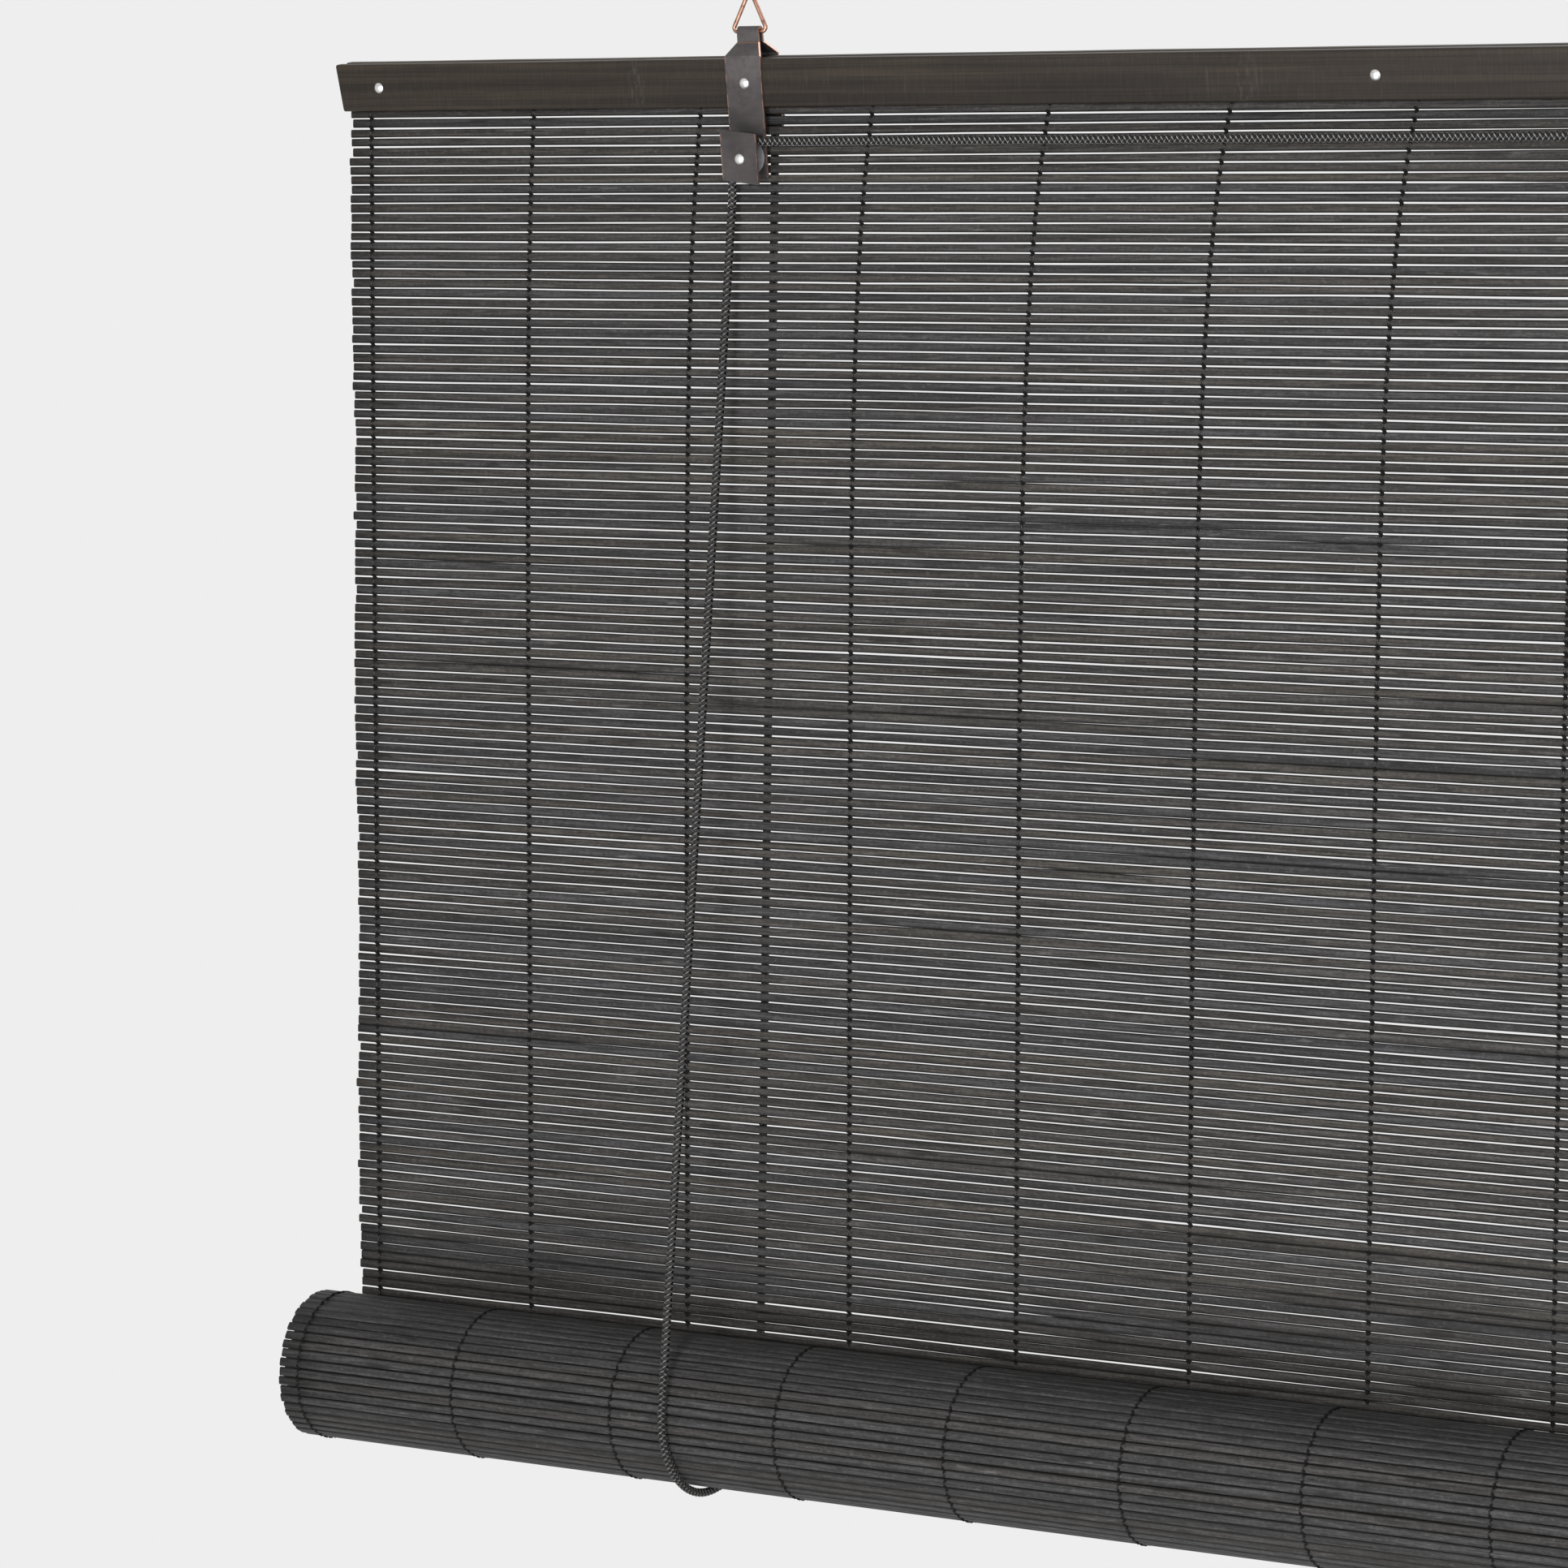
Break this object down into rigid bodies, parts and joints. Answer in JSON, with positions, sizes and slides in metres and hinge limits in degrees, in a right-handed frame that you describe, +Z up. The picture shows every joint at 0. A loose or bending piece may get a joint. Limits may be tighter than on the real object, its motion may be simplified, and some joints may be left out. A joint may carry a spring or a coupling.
{
  "type": "bamboo roll-up blind",
  "caption": "Black bamboo slat blind, partly rolled up, hung from a two-batten head rail by triangle rings, with pulley hangers and cords that draw up the roll.",
  "frame": {"origin": "midway between the two points where the wall hooks seat in the hanger rings", "axes": "+X along the width to the right seen from the room, -Y towards the room, +Z up"},
  "size_m": [1.004, 0.0886, 0.6556],
  "materials": {
    "bamboo": "charred black bamboo, satin",
    "batten": "black stained wood, rubbed brown at the edges",
    "twine": "twisted black twine",
    "cord": "braided black cord",
    "strap": "dark bronzed sheet, bare at the edges",
    "copper_wire": "copper plated wire, dulled",
    "rivet": "bright rivet",
    "pulley": "grey moulded plastic",
    "bell": "dark turned wood"
  },
  "bodies": {
    "head": {"front_batten": "batten", "rear_batten": "batten", "rail_rivets": "rivet", "left_strap": "strap", "right_strap": "strap", "strap_rivets": "rivet", "left_front_plate": "strap", "right_front_plate": "strap", "left_axle": "rivet", "right_axle": "rivet", "slat_mat": "bamboo", "mat_strings": "twine", "left_front_cord": "cord", "left_rear_cord": "cord", "left_cord_knot": "cord", "right_front_cord": "cord", "right_rear_cord": "cord", "right_cord_knot": "cord", "cross_cord": "cord", "right_over_cord": "cord", "cord_bell": "bell"},
    "left_ring": {"left_ring": "copper_wire"},
    "right_ring": {"right_ring": "copper_wire"},
    "lift": {"mat_tail": "bamboo", "tail_strings": "twine", "left_cord_loop": "cord", "right_cord_loop": "cord"},
    "roll": {"slat_roll": "bamboo", "roll_strings": "twine", "bottom_batten": "batten"},
    "left_pulley": {"left_pulley": "pulley"},
    "right_rear_pulley": {"right_rear_pulley": "pulley"},
    "right_front_pulley": {"right_front_pulley": "pulley"}
  },
  "joints": [
    {"name": "left_ring_swing", "type": "hinge", "parent": "head", "child": "left_ring", "pos_m": [-0.292, 0, -0.0158], "axis": [1, 0, 0], "range_deg": [-80, 80]},
    {"name": "right_ring_swing", "type": "hinge", "parent": "head", "child": "right_ring", "pos_m": [0.292, 0, -0.0158], "axis": [1, 0, 0], "range_deg": [-80, 80]},
    {"name": "roll_lift", "type": "slide", "parent": "head", "child": "lift", "axis": [0, 0, 1], "range_m": [0, 0.4], "deforming": ["slat_mat", "mat_strings", "left_front_cord", "left_rear_cord", "right_front_cord", "right_rear_cord"]},
    {"name": "roll_spin", "type": "hinge", "parent": "lift", "child": "roll", "pos_m": [0, -0.0308, -0.61448], "axis": [1, 0, 0], "continuous": true},
    {"name": "left_pulley_spin", "type": "hinge", "parent": "head", "child": "left_pulley", "pos_m": [-0.292, -0.00475, -0.06999], "axis": [0, 0.9903, 0.1392], "continuous": true},
    {"name": "right_rear_pulley_spin", "type": "hinge", "parent": "head", "child": "right_rear_pulley", "pos_m": [0.292, -0.00475, -0.06999], "axis": [0, 0.9903, 0.1392], "continuous": true},
    {"name": "right_front_pulley_spin", "type": "hinge", "parent": "head", "child": "right_front_pulley", "pos_m": [0.292, -0.01203, -0.07101], "axis": [0, 0.9903, 0.1392], "continuous": true}
  ],
  "couplings": [
    {"joint": "roll_spin", "follows": "roll_lift", "rad_per_m": -28.369},
    {"joint": "left_pulley_spin", "follows": "roll_lift", "rad_per_m": 286.74},
    {"joint": "right_rear_pulley_spin", "follows": "roll_lift", "rad_per_m": 286.74},
    {"joint": "right_front_pulley_spin", "follows": "roll_lift", "rad_per_m": 286.74}
  ]
}
